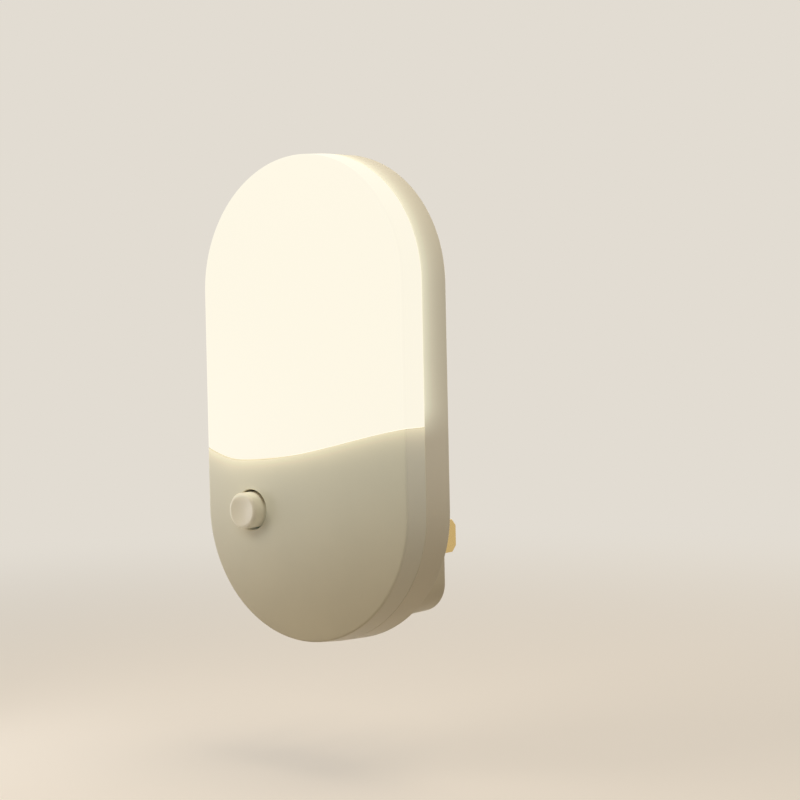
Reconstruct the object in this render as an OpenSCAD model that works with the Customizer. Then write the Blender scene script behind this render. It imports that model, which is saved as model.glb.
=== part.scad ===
// Plug-in LED night light: a slim capsule-shaped body that hangs on its own plug blades.
//
// Everything is laid out as the light is seen from the front: x runs to the right, y runs up and
// z is the distance from the outlet's face. on_wall() then stands the light upright, so that the
// finished part has +Z up, faces -Y and has its origin between the blades, on the outlet's face.

/* [Body] */
// Width of the body where its front and back halves meet
body_w = 48; // [47:0.5:56]
// Height of the body there
body_h = 88; // [86:1:104]
// Distance from the blades down to the body's lower end
body_drop = 16.4; // [15.8:0.1:17.2]
// Depth of the rear housing's side
housing_depth = 6.7; // [6.4:0.1:9]
// How far that side flares out towards the back, as moulding draft
housing_flare = 0.4; // [0:0.05:0.6]
// Depth of the skirt that the diffuser and the front cover share
skirt_depth = 4.7; // [4.2:0.1:6]
// How far that skirt leans in towards the front, as moulding draft
skirt_lean = 0.55; // [0.2:0.05:0.9]
// Thickness of the side walls
wall = 1.8; // [1.6:0.1:2.2]
// Thickness of the rear housing's floor
floor_t = 1.8; // [1.5:0.1:2.2]
// Thickness of the diffuser's and the front cover's face
face_t = 1.8; // [1.4:0.1:2]
// Rounding of the front edge
front_edge_r = 0.4; // [0.3:0.1:1]
// Rounding of the back edge
back_edge_r = 0.6; // [0.3:0.1:1.4]
// Thickness of the lip that lines up the two halves
lip_t = 0.8; // [0.6:0.1:1]
// Height of that lip
lip_h = 1.2; // [1:0.1:1.4]

/* [Wave] */
// Height of the wave's trough above the blades
trough_y = 16.3; // [16:0.1:18]
// Place of the trough, to the right of the centre
trough_x = -15; // [-17:0.5:-8]
// Height of the wave's crest above its trough
wave_rise = 6.5; // [3:0.1:8]
// Distance over which the wave climbs to the left of the trough
left_run = 22; // [20:1:40]
// Distance over which it climbs to the right
right_run = 50; // [40:1:60]
// Gap between the diffuser and the front cover along the wave
seam_gap = 0.12; // [0.05:0.01:0.3]
// Reach of the front cover's ledge behind the diffuser
ledge_reach = 2.5; // [1.5:0.1:3]
// Thickness of that ledge
ledge_t = 1; // [0.8:0.1:1.2]

/* [Button] */
// Distance of the button from the body's left side
button_inset = 11.3; // [10.6:0.1:12.5]
// Height of the button above the blades
button_y = 7.3; // [6.4:0.1:8]
// Diameter of the button
button_d = 6.6; // [6:0.1:7.4]
// Distance that the button stands out of the front
button_proud = 2.5; // [2:0.1:4]
// Travel of the button
button_travel = 1.5; // [1:0.1:1.6]
// Gap around the button in its hole
button_gap = 0.4; // [0.3:0.05:0.6]
// Thickness of the button's front behind its dish
button_face_t = 1.2; // [0.8:0.1:1.6]
// Depth of the dish in the button's front
dish_depth = 0.45; // [0.2:0.05:0.7]
// Rounding of the button's rim
button_rim_r = 0.6; // [0.3:0.1:0.8]
// Height of the collar around the hole, inside
collar_h = 0.8; // [0.4:0.1:0.8]
// Thickness of the collar
collar_t = 1; // [0.8:0.1:1.4]

/* [Plug] */
// Width of the plug boss
boss_w = 32.5; // [31:0.5:34]
// Height of the plug boss
boss_h = 24.4; // [23.6:0.2:26]
// Distance that the boss holds the body off the outlet
boss_depth = 9.4; // [9:0.1:12]
// Radius of the boss's corners
boss_corner_r = 5.5; // [4:0.5:7]
// Rounding of the boss's rear edge
boss_edge_r = 0.8; // [0.3:0.1:1.2]
// Thickness of the boss's walls
boss_wall = 2; // [1.8:0.1:2.2]
// Thickness of the boss's floor
boss_floor = 2.2; // [2:0.1:2.6]
// Distance between the blades' centres
blade_pitch = 12.7; // [12.4:0.1:13]
// Width of a blade
blade_w = 6.4; // [6:0.1:6.8]
// Thickness of a blade
blade_t = 1.5; // [1.4:0.05:1.6]
// Length of blade outside the boss
blade_reach = 16; // [15:0.5:18]
// Length cut off each corner at a blade's tip
blade_tip = 1.2; // [0.6:0.1:1.6]
// Width of a blade's shoulder inside the boss
shoulder_w = 8.6; // [8:0.1:9]
// Height of that shoulder
shoulder_h = 1.6; // [1.2:0.1:2]
// Width of a blade's tail
tail_w = 4; // [3:0.1:4.4]
// Length of the tail above the retainer
tail_l = 2.8; // [2.4:0.1:3]
// Gap between the blade retainer's ends and the boss's walls
retainer_gap = 1.3; // [1:0.1:1.6]
// Thickness of the blade retainer
retainer_t = 1.6; // [1.2:0.1:2]
// Distance of the retainer's screws from its ends
retainer_edge = 2; // [1.9:0.1:2.2]

/* [Boards] */
// Distance between the boards' edges and the body's outside
board_inset = 4; // [3.8:0.1:5]
// Thickness of the driver board
driver_board_t = 1.2; // [1:0.1:1.4]
// Height of the posts under the driver board
driver_stand = 1; // [0.8:0.1:1.2]
// Thickness of the LED board
led_board_t = 1; // [0.8:0.1:1.6]
// Height of the posts under the LED board
led_stand = 1.2; // [0.8:0.1:1.6]
// Height of the partition between the boards above the blades
partition_y = 17.2; // [17:0.1:17.8]
// Thickness of the partition
partition_t = 1; // [0.8:0.1:1.4]
// Gap between the partition and each board
board_gap = 0.8; // [0.6:0.1:1]
// Distance of the boards' posts from their round edges
post_inset = 2.6; // [2.4:0.1:3]
// Rows of LEDs
led_rows = 4; // [2:1:4]
// Distance of the lowest row above the board's lower edge
led_first = 9.1; // [8.6:0.1:10]
// Distance between the outer LEDs and the board's round edge
led_margin = 2; // [1:0.1:4]
// Columns of LEDs
led_columns = 3; // [1:2:3]
// Distance between the columns
led_column_pitch = 12; // [9:0.5:13]
// Length of an LED
led_l = 3.5; // [3:0.1:3.6]
// Width of an LED
led_w = 2.8; // [2.6:0.1:3]
// Height of an LED
led_h = 0.7; // [0.5:0.1:1]

/* [Switch] */
// Width of the switch's square body
switch_w = 7; // [6.4:0.1:7.2]
// Height of the switch's body
switch_h = 4.2; // [3.6:0.1:4.3]
// Thickness of the switch's walls
switch_wall = 0.8; // [0.5:0.1:0.9]
// Thickness of the switch's floor
switch_floor_t = 0.5; // [0.4:0.05:0.6]
// Width of the square plunger
plunger_w = 3; // [2.8:0.1:3.2]
// Thickness of the plunger's flange
flange_t = 0.7; // [0.5:0.1:0.8]
// Reach of the flange past the switch's opening
flange_reach = 0.5; // [0.4:0.05:0.6]
// Diameter of the plunger's spring
spring_d = 2; // [1.8:0.1:2.1]
// Diameter of the spring's wire
spring_wire = 0.3; // [0.2:0.05:0.35]
// Turns of the spring
spring_turns = 5; // [4:0.5:6]
// Depth of the spring's seat in the plunger
spring_seat = 3; // [2.4:0.1:3.4]

/* [Fasteners] */
// Distance of the housing screws from the body's side
housing_screw_inset = 5; // [4.8:0.1:5.4]
// Height of the housing screws above the blades
housing_screw_y = 13.2; // [12.8:0.1:13.6]
// Diameter of a housing screw's shank
housing_screw_d = 2; // [1.8:0.1:2.2]
// Length of a housing screw's shank
housing_screw_l = 6.4; // [5:0.1:6.8]
// Diameter of a small screw's shank
small_screw_d = 1.8; // [1.6:0.1:2]
// Length of a small screw's shank
small_screw_l = 3; // [2.4:0.1:3.2]
// Wall of plastic around a housing screw
tube_wall = 1.2; // [1:0.1:1.3]
// Wall of plastic around a small screw
post_wall = 0.9; // [0.8:0.1:1.1]

/* [Hidden] */
$fn = 72;

// How far a rib or post runs into the wall that it stands on, so that the two are one moulding
weld = 0.4;
// How far a cut runs past the face that it opens
past = 1;
// Clearances: a pin or screw in its hole, moulded parts side by side, parts that only just touch
slip = 0.1;
clear = 0.3;
touch = 0.05;

// Heights off the outlet's face
back_z = boss_depth;
floor_z = back_z + floor_t;
part_z = back_z + housing_depth;
front_z = part_z + skirt_depth;
face_z = front_z - face_t;
lip_z = part_z + lip_h;
driver_z = floor_z + driver_stand;
driver_top = driver_z + driver_board_t;
led_z = floor_z + led_stand;
led_top = led_z + led_board_t;
shoulder_z = boss_floor + shoulder_h;
retainer_z = shoulder_z + retainer_t;
tail_z = retainer_z + tail_l;
ledge_z = face_z - slip - ledge_t;
partition_z = min(lip_z, ledge_z - clear);

// Places on the front
body_lift = body_h / 2 - body_drop;
cap_y = body_w / 2 - body_drop;
top_cap_y = cap_y + body_h - body_w;
board_r = body_w / 2 - board_inset;
button_at = [button_inset - body_w / 2, button_y];
led_bottom = partition_y + partition_t / 2 + board_gap;
driver_top_y = partition_y - partition_t / 2 - board_gap;

// Screw tubes and posts
housing_screw_x = body_w / 2 - housing_screw_inset;
housing_head_r = 1.9;
housing_head_h = 1.5;
head_sunk = 0.5;
tube_seat_z = back_z + head_sunk + housing_head_h;
tube_top = driver_top - clear;
tube_r = housing_head_r + 2 * slip + tube_wall;
cover_boss_r = housing_screw_d / 2 + slip + tube_wall;
web_t = 1;
small_head_r = 1.7;
small_head_h = 1.1;
post_r = small_screw_d / 2 + slip + post_wall;
pin_r = post_r - 0.5;
body_skin = 0.5;
boss_skin = 1.2;

// The switch's legs, and the driver board's posts beside them
switch_leg_pitch = 2;
switch_leg_w = 0.8;
switch_leg_reach = 1;
switch_leg_t = 0.25;
head_room = 1.1;
switch_foot_y = button_y - switch_w / 2 - touch - switch_leg_reach;
driver_post_y = switch_foot_y - small_head_r - head_room;
driver_post_x = sqrt(pow(board_r - post_inset, 2) - pow(cap_y - driver_post_y, 2));

// The LEDs fill the board from their lowest row up to its round end
led_low_y = led_bottom + led_first;
led_outer_x = (led_columns - 1) / 2 * led_column_pitch + led_l / 2;
led_high_y = top_cap_y + sqrt(pow(board_r - led_margin, 2) - pow(led_outer_x, 2)) - led_w / 2;
led_row_pitch = (led_high_y - led_low_y) / (led_rows - 1);
led_post_x = led_column_pitch / 2;
led_post_drop = 4;
led_posts = [
    [-led_post_x, led_low_y - led_post_drop],
    [led_post_x, top_cap_y + sqrt(pow(board_r - post_inset, 2) - pow(led_post_x, 2))]
];

// Snap hooks
hook_w = 5;
hook_t = 1;
hook_gap = 0.25;
hook_barb = 0.8;
hook_barb_h = 1.1;
hook_tip = 0.4;
hook_foot = 0.9;
hook_foot_z = floor_z + hook_foot;
hook_barb_z = hook_foot_z + hook_tip;
hook_apart = 2.4;
side_hooks = [
    trough_y + wave_rise + hook_apart + hook_w / 2,
    top_cap_y - hook_t - hook_w / 2
];

// Leads, and the pads where they end
pad_inset = 2;
led_lead_x = [6.2, 8.8];
led_lead_d = 1.2;
led_lead_rise = 3.8;
led_pad_y = led_bottom + pad_inset;
driver_pad_y = driver_top_y - pad_inset;
mains_lead_d = 1.2;
mains_lead_drop = 0.9;
mains_pad = [9.8, 0.8];
mains_bend = [1.6, 2.4];

// Parts on the driver board
film_l = 13;
film_w = 4.8;
film_h = 8.2;
film_y = boss_h / 2 - boss_wall - film_w / 2 - clear;
film_pitch = 10;
smoothing_d = 5;
smoothing_l = 8.2;
smoothing_at = [-5, smoothing_d / 2 + 2 * slip + boss_wall - boss_h / 2];
smoothing_pitch = 2;
fuse_at = [5.4, smoothing_at[1]];
fuse_size = [7, 2.4];
fuse_foot = fuse_size[0] / 2 + 1;
bleed_at = [8, -6];
bleed_size = [5, 2];
bleed_foot = bleed_size[0] / 2 + 1;
leg_d = 0.6;
leg_out = 0.8;
bridge_at = [3, 3.4];
bridge_size = [4.7, 3.9, 2.3];
chip_size = [3.2, 1.6, 0.6];
chip_places = [[-4, -4.4], [-4, -1.6], [-4, 1.2], [10.6, 5]];
led_resistor_x = [-8, -12];

// The retainer lies between the film capacitor and the smoothing capacitor
retainer_l = boss_w - 2 * boss_wall - 2 * retainer_gap;
retainer_w = boss_h - 2 * boss_wall - 2 * (smoothing_d + 2 * slip + clear);
retainer_pitch = retainer_l - 2 * retainer_edge;

// Stands the layout upright: its z becomes the part's -Y
module on_wall() rotate([90, 0, 0]) children();

// Height of the wave at x
function wave_y(x) =
    let (run = x < trough_x ? left_run : right_run)
    trough_y + wave_rise / 2 * (1 - cos(180 * (x - trough_x) / run));

// The wave's points from one side of the body to the other, shifted up or down
wave_steps = 44;
function wave_points(shift) = [
    for (i = [0 : wave_steps])
        let (x = (i / wave_steps - 0.5) * (body_w + 2 * past))
        [x, wave_y(x) + shift]
];

// Everything below the wave, or everything above it
module wave_side(shift, side) {
    far = side * body_h;
    edge = body_w / 2 + past;
    polygon(concat(wave_points(shift), [[edge, body_lift + far], [-edge, body_lift + far]]));
}

// The body's outline, moved inwards
module outline(inset) {
    w = body_w - 2 * inset;
    straight = body_h - body_w;
    translate([0, body_lift]) {
        square([w, straight], center = true);
        for (s = [-1, 1]) translate([0, s * straight / 2]) circle(d = w);
    }
}

// A rectangle with round corners
module round_rect(w, h, r) {
    square([w - 2 * r, h], center = true);
    square([w, h - 2 * r], center = true);
    for (x = [-1, 1], y = [-1, 1]) translate([x * (w / 2 - r), y * (h / 2 - r)]) circle(r);
}

// Half-section of a slab's rim, from its corner's centre outwards, whose side leans in upwards
module rim_section(r, z0, z1, e0, e1, lean = 0) {
    a = atan(lean / (z1 - z0));
    round_at = [r - (e1 + (z1 - e1 - z0) * sin(a)) / cos(a), z1 - e1];
    difference() {
        polygon([[0, z0], [r, z0], [r - lean, z1], [0, z1]]);
        if (e1 > 0) difference() {
            polygon([
                round_at, round_at + (e1 + past) * [cos(a), sin(a)],
                [r + past, z1 + past], round_at + [0, e1 + past]
            ]);
            translate(round_at) circle(e1);
        }
        if (e0 > 0) translate([r - e0, z0 + e0]) mirror([0, 1]) difference() {
            square(e0 + past);
            circle(e0);
        }
    }
}

// A slab with round corners, whose lower and upper edges are rounded by e0 and e1
module slab(w, h, r, z0, z1, e0, e1, lean = 0) {
    flat_w = w - 2 * r;
    flat_h = h - 2 * r;
    for (x = [0, 1], y = [0, 1]) mirror([x, 0, 0]) mirror([0, y, 0])
        translate([flat_w / 2, flat_h / 2, 0])
            rotate_extrude(angle = 90) rim_section(r, z0, z1, e0, e1, lean);
    for (x = [0, 1]) mirror([x, 0, 0]) translate([flat_w / 2, 0, 0])
        rotate([90, 0, 0]) linear_extrude(flat_h, center = true)
            rim_section(r, z0, z1, e0, e1, lean);
    if (flat_w > 0) {
        for (y = [0, 1]) mirror([0, y, 0]) translate([0, flat_h / 2, 0])
            rotate([90, 0, 90]) linear_extrude(flat_w, center = true)
                rim_section(r, z0, z1, e0, e1, lean);
        translate([-flat_w / 2, -flat_h / 2, z0]) cube([flat_w, flat_h, z1 - z0]);
    }
}

// A flat layer between two heights
module layer(z0, z1) translate([0, 0, z0]) linear_extrude(z1 - z0) children();

// The shell that the diffuser and the front cover are two parts of
module front_shell() {
    difference() {
        translate([0, body_lift, 0])
            slab(body_w, body_h, body_w / 2, part_z, front_z, 0, front_edge_r, skirt_lean);
        layer(part_z - past, face_z) outline(wall);
        layer(part_z - past, lip_z + slip) outline(wall - lip_t - slip);
    }
}

// Puts its children at a hook's place on the wall, with +x outwards
module at_side_hooks() {
    for (x = [0, 1], y = side_hooks) mirror([x, 0, 0])
        translate([body_w / 2, y, 0]) children();
}
module at_end_hook(side) {
    translate([0, body_lift + side * body_h / 2, 0]) rotate([0, 0, side * 90]) children();
}

// A snap hook that hangs from the front's inner face, with its barb turned outwards
module hook() {
    outer = -wall - hook_gap;
    translate([outer - hook_t, -hook_w / 2, hook_foot_z])
        cube([hook_t, hook_w, face_z + weld - hook_foot_z]);
    translate([outer, 0, 0]) rotate([90, 0, 0]) linear_extrude(hook_w, center = true)
        polygon([
            [-weld, hook_barb_z], [0, hook_barb_z], [hook_barb, hook_barb_z + hook_barb_h - weld],
            [hook_barb, hook_barb_z + hook_barb_h], [-weld, hook_barb_z + hook_barb_h]
        ]);
}

// The pocket in the housing's wall that the barb snaps into
module hook_pocket() {
    depth = hook_barb - hook_gap + slip;
    translate([-wall - past, -hook_w / 2 - clear, hook_barb_z - clear])
        cube([past + depth, hook_w + 2 * clear, hook_barb_h + clear + touch]);
}

// Puts its children at both housing screws
module at_housing_screws() {
    for (x = [-1, 1]) translate([x * housing_screw_x, housing_screw_y, 0]) children();
}
module at_driver_screws() {
    for (x = [-1, 1]) translate([x * driver_post_x, driver_post_y, 0]) children();
}
module at_led_screws() {
    for (p = led_posts) translate([p[0], p[1], 0]) children();
}
module at_retainer_screws() {
    for (x = [-1, 1]) translate([x * retainer_pitch / 2, 0, 0]) children();
}

// A screw that points down from z = 0, with a cross recess in its round head
module screw(shank_d, shank_l, head_r, head_h) {
    slot_w = head_r * 0.3;
    difference() {
        union() {
            rotate_extrude() difference() {
                square([head_r, head_h]);
                translate([head_r - head_h * 0.6, head_h * 0.4]) difference() {
                    square(head_h);
                    circle(head_h * 0.6);
                }
            }
            translate([0, 0, -shank_l + shank_d / 2])
                cylinder(d = shank_d, h = shank_l - shank_d / 2 + touch);
            translate([0, 0, -shank_l]) cylinder(d1 = 0.2, d2 = shank_d, h = shank_d / 2);
        }
        for (a = [0, 90]) rotate([0, 0, a])
            translate([-head_r * 0.55, -slot_w / 2, head_h * 0.5])
                cube([head_r * 1.1, slot_w, head_h]);
    }
}

module rear_housing() color("ivory") on_wall() {
    difference() {
        union() {
            difference() {
                union() {
                    translate([0, body_lift, 0])
                        slab(body_w + 2 * housing_flare, body_h + 2 * housing_flare,
                             body_w / 2 + housing_flare, back_z, part_z, back_edge_r, 0,
                             housing_flare);
                    layer(part_z - weld, lip_z) outline(wall - lip_t);
                    slab(boss_w, boss_h, boss_corner_r, 0, back_z + weld, boss_edge_r, 0);
                }
                layer(floor_z, lip_z + past) outline(wall);
                layer(boss_floor, floor_z + past)
                    round_rect(boss_w - 2 * boss_wall, boss_h - 2 * boss_wall,
                               boss_corner_r - boss_wall);
            }
            intersection() {
                layer(floor_z - weld, partition_z) outline(wall - weld);
                translate([-body_w / 2, partition_y - partition_t / 2, floor_z - weld])
                    cube([body_w, partition_t, partition_z - floor_z + weld]);
            }
            at_housing_screws() translate([0, 0, floor_z - weld])
                cylinder(r = tube_r, h = tube_top - floor_z + weld);
            at_driver_screws() translate([0, 0, floor_z - weld])
                cylinder(r = post_r, h = driver_stand + weld);
            translate([0, driver_top_y - post_inset, floor_z - weld])
                cylinder(r = pin_r, h = driver_stand + weld);
            at_led_screws() translate([0, 0, floor_z - weld])
                cylinder(r = post_r, h = led_stand + weld);
            for (x = [-1, 1], y = [led_low_y, top_cap_y])
                translate([x * (board_r - post_inset), y, floor_z - weld])
                    cylinder(r = pin_r, h = led_stand + weld);
            at_retainer_screws() translate([0, 0, boss_floor - weld])
                cylinder(r = post_r, h = shoulder_h + weld);
        }
        // wells and holes for the housing screws
        at_housing_screws() {
            translate([0, 0, back_z - past])
                cylinder(r = housing_head_r + slip, h = tube_seat_z - back_z + past);
            cylinder(d = housing_screw_d + 4 * slip, h = tube_top + past);
        }
        // blind holes for the small screws
        at_driver_screws() translate([0, 0, back_z + body_skin])
            cylinder(d = small_screw_d + 2 * slip, h = floor_z);
        at_led_screws() translate([0, 0, back_z + body_skin])
            cylinder(d = small_screw_d + 2 * slip, h = floor_z);
        at_retainer_screws() translate([0, 0, boss_skin])
            cylinder(d = small_screw_d + 2 * slip, h = shoulder_z);
        // slots for the blades
        for (x = [-1, 1]) translate([x * blade_pitch / 2, 0, 0])
            layer(-past, boss_floor + past)
                square([blade_t + 2 * slip, blade_w + 2 * slip], center = true);
        // notch for the LED leads
        layer(led_top + led_lead_d / 2, lip_z + past)
            translate([led_lead_x[0] - led_lead_d, partition_y - partition_t])
                square([led_lead_x[1] - led_lead_x[0] + 2 * led_lead_d, 2 * partition_t]);
        at_side_hooks() hook_pocket();
        at_end_hook(1) hook_pocket();
        at_end_hook(-1) hook_pocket();
    }
}

module diffuser() color("lemonchiffon") on_wall() {
    intersection() {
        front_shell();
        layer(0, front_z + past) wave_side(seam_gap / 2, 1);
    }
    at_side_hooks() hook();
    at_end_hook(1) hook();
}

module front_cover() color("linen") on_wall() {
    difference() {
        union() {
            intersection() {
                front_shell();
                layer(0, front_z + past) wave_side(-seam_gap / 2, -1);
            }
            // ledge behind the diffuser's lower edge
            intersection() {
                layer(ledge_z, face_z - slip) difference() {
                    wave_side(ledge_reach, -1);
                    wave_side(-ledge_reach, -1);
                }
                layer(0, front_z) outline(wall + clear);
            }
            // root that joins the ledge to the cover's face
            intersection() {
                layer(ledge_z, face_z + weld) difference() {
                    wave_side(-clear, -1);
                    wave_side(-ledge_reach, -1);
                }
                layer(0, front_z) outline(wall - weld);
            }
            translate([button_at[0], button_at[1], face_z - collar_h])
                cylinder(d = button_d + 2 * button_gap + 2 * collar_t, h = collar_h + weld);
            at_housing_screws() {
                translate([0, 0, tube_top + slip])
                    cylinder(r = cover_boss_r, h = face_z + weld - tube_top - slip);
            }
            // web from each screw boss to the skirt
            for (x = [0, 1]) mirror([x, 0, 0])
                translate([housing_screw_x, housing_screw_y - web_t / 2, lip_z + 2 * slip])
                    cube([
                        housing_screw_inset - wall + weld, web_t,
                        face_z + weld - lip_z - 2 * slip
                    ]);
            at_end_hook(-1) hook();
        }
        translate([button_at[0], button_at[1], 0])
            cylinder(d = button_d + 2 * button_gap, h = front_z + past);
        at_housing_screws() translate([0, 0, tube_seat_z])
            cylinder(d = housing_screw_d + 2 * slip, h = housing_screw_l + clear);
    }
}

// The button is pressed on the plunger and clears the switch when it is pushed right in
button_back = driver_top + switch_h + button_travel + slip;
button_front = front_z + button_proud;
button_back_r = 0.2;
socket_top = button_front - dish_depth - button_face_t;

module push_button() color("linen") on_wall() translate([button_at[0], button_at[1], 0]) {
    r = button_d / 2;
    bowl_w = r - button_rim_r;
    bowl_r = (bowl_w * bowl_w + dish_depth * dish_depth) / (2 * dish_depth);
    difference() {
        rotate_extrude() difference() {
            rim_section(r, button_back, button_front, button_back_r, button_rim_r);
            translate([0, button_front - dish_depth + bowl_r]) circle(bowl_r);
        }
        translate([-plunger_w / 2 - touch, -plunger_w / 2 - touch, button_back - past])
            cube([plunger_w + 2 * touch, plunger_w + 2 * touch, socket_top - button_back + past]);
    }
}

// One flat blade with its shoulder and tail, from a single stamping
tail_hole_d = 1;
tail_hole_drop = 1.3;
module blade() {
    rotate([90, 0, 90]) linear_extrude(blade_t, center = true) difference() {
        union() {
            polygon([
                [-blade_w / 2, boss_floor + weld], [-blade_w / 2, blade_tip - blade_reach],
                [blade_tip - blade_w / 2, -blade_reach], [blade_w / 2 - blade_tip, -blade_reach],
                [blade_w / 2, blade_tip - blade_reach], [blade_w / 2, boss_floor + weld]
            ]);
            translate([-shoulder_w / 2, boss_floor]) square([shoulder_w, shoulder_h]);
            translate([-tail_w / 2, boss_floor]) square([tail_w, tail_z - boss_floor]);
        }
        translate([0, tail_z - tail_hole_drop]) circle(d = tail_hole_d);
    }
}
module line_blade() color("gold") on_wall() translate([-blade_pitch / 2, 0, 0]) blade();
module neutral_blade() color("gold") on_wall() translate([blade_pitch / 2, 0, 0]) blade();

retainer_corner_r = 1.5;
module blade_retainer() color("dimgray") on_wall() {
    difference() {
        layer(shoulder_z, retainer_z) round_rect(retainer_l, retainer_w, retainer_corner_r);
        for (x = [-1, 1]) translate([x * blade_pitch / 2, 0, 0])
            layer(shoulder_z - past, retainer_z + past)
                square([blade_t + 2 * slip, tail_w + 2 * slip], center = true);
        at_retainer_screws() cylinder(d = small_screw_d + 4 * slip, h = retainer_z + past);
    }
}

module retainer_screws() color("silver") on_wall() at_retainer_screws()
    translate([0, 0, retainer_z])
        screw(small_screw_d, retainer_z - boss_skin - clear, small_head_r, small_head_h);

// Places of the legs that go through the driver board
leg_places = [
    [-film_pitch / 2, film_y], [film_pitch / 2, film_y],
    [smoothing_at[0] - smoothing_pitch / 2, smoothing_at[1]],
    [smoothing_at[0] + smoothing_pitch / 2, smoothing_at[1]],
    [fuse_at[0] - fuse_foot, fuse_at[1]],
    [fuse_at[0] + fuse_foot, fuse_at[1]]
];

module driver_board() color("seagreen") on_wall() {
    difference() {
        layer(driver_z, driver_top) intersection() {
            outline(board_inset);
            translate([-body_w / 2, driver_top_y - body_h]) square([body_w, body_h]);
        }
        at_housing_screws() cylinder(r = tube_r + clear, h = front_z);
        at_driver_screws() cylinder(d = small_screw_d + 4 * slip, h = front_z);
        for (p = leg_places) translate([p[0], p[1], 0]) cylinder(d = leg_d + 2 * slip, h = front_z);
    }
}

// A wire leg that comes up through the driver board
module leg(p, z0) translate([p[0], p[1], z0]) cylinder(d = leg_d, h = driver_top + leg_out - z0);

module film_capacitor() color("goldenrod") on_wall() {
    translate([-film_l / 2, film_y - film_w / 2, driver_z - film_h])
        cube([film_l, film_w, film_h]);
    for (i = [0, 1]) leg(leg_places[i], driver_z - weld);
}

module smoothing_capacitor() color("darkslateblue") on_wall() {
    crimp = 0.3;
    crimp_drop = 1.6;
    crimp_z = driver_z - crimp_drop;
    rim_r = 0.3;
    difference() {
        translate([smoothing_at[0], smoothing_at[1], 0]) rotate_extrude()
            rim_section(smoothing_d / 2, driver_z - smoothing_l, driver_z, rim_r, rim_r);
        translate([smoothing_at[0], smoothing_at[1], crimp_z]) rotate_extrude()
            translate([smoothing_d / 2, 0]) circle(crimp);
    }
    for (i = [2, 3]) leg(leg_places[i], driver_z - weld);
}

// A resistor that lies along x, with legs bent through the board
module fuse_resistor() color("steelblue") on_wall() {
    z = driver_z - fuse_size[1] / 2 - slip;
    translate([fuse_at[0] - fuse_size[0] / 2, fuse_at[1], z]) rotate([0, 90, 0])
        resistor_body(fuse_size);
    translate([leg_places[4][0], fuse_at[1], z]) rotate([0, 90, 0])
        cylinder(d = leg_d, h = leg_places[5][0] - leg_places[4][0]);
    for (i = [4, 5]) {
        translate([leg_places[i][0], fuse_at[1], z]) sphere(d = leg_d);
        leg(leg_places[i], z);
    }
}

// A moulded body with swollen ends, along z
module resistor_body(size) {
    end = size[0] * 0.22;
    waist = size[1] / 2 * 0.85;
    rotate_extrude() {
        square([waist, size[0]]);
        for (z = [0, size[0] - end]) rim_band(size[1] / 2, z, z + end);
    }
}
module rim_band(r, z0, z1) {
    e = 0.25;
    translate([0, z0]) square([r - e, z1 - z0]);
    translate([0, z0 + e]) square([r, z1 - z0 - 2 * e]);
    for (z = [z0 + e, z1 - e]) translate([r - e, z]) circle(e);
}

module bleed_resistor() color("tan") on_wall() {
    z = driver_top + bleed_size[1] / 2 + slip;
    reach = bleed_foot;
    translate([bleed_at[0], bleed_at[1], z]) rotate([90, 0, 0]) {
        translate([0, 0, -bleed_size[0] / 2]) resistor_body(bleed_size);
        translate([0, 0, -reach]) cylinder(d = leg_d, h = 2 * reach);
    }
    for (y = [-reach, reach]) translate([bleed_at[0], bleed_at[1] + y, 0]) {
        translate([0, 0, z]) sphere(d = leg_d);
        translate([0, 0, driver_top]) cylinder(d = leg_d, h = z - driver_top);
    }
}

module bridge_rectifier() color("black") on_wall()
    translate([bridge_at[0], bridge_at[1], driver_top]) {
        translate([-bridge_size[0] / 2, -bridge_size[1] / 2, slip])
            cube(bridge_size);
        for (x = [-1, 1], y = [-1, 1]) translate([x * bridge_size[0] / 4, y * bridge_size[1] / 2, 0])
            gull_leg(y);
    }

// A flat leg bent down from the bridge's side to the board
module gull_leg(side) {
    w = 0.7;
    t = 0.25;
    reach = 1.2;
    top = bridge_size[2] / 2;
    mirror([0, side < 0 ? 1 : 0, 0]) {
        translate([-w / 2, t, 0]) cube([w, reach - t, t]);
        translate([-w / 2, t, 0]) cube([w, t, top]);
        translate([-w / 2, -t, top - t]) cube([w, 3 * t, t]);
    }
}

module chip_resistors() color("darkslategray") on_wall()
    for (p = chip_places) translate([p[0], p[1], driver_top + chip_size[2] / 2])
        cube(chip_size, center = true);

module switch_body() color("dimgray") on_wall()
    translate([button_at[0], button_at[1], driver_top]) {
        top = switch_h - switch_wall;
        difference() {
            layer(0, switch_h) round_rect(switch_w, switch_w, 0.5);
            layer(switch_floor_t, top)
                square(switch_w - 2 * switch_wall, center = true);
            layer(top - past, switch_h + past) square(plunger_w + 2 * clear, center = true);
        }
    }

// The plunger's flange rests under the switch's top and holds the button up
plunger_rest = driver_top + switch_h - switch_wall - touch;

module switch_plunger() color("white") on_wall()
    translate([button_at[0], button_at[1], 0]) {
        flange_w = plunger_w + 2 * clear + 2 * flange_reach;
        base = plunger_rest - flange_t;
        difference() {
            union() {
                layer(base, plunger_rest) square(flange_w, center = true);
                layer(base, socket_top) square(plunger_w, center = true);
            }
            translate([0, 0, base - past]) cylinder(d = spring_d + 2 * slip, h = spring_seat + past);
        }
    }

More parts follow.
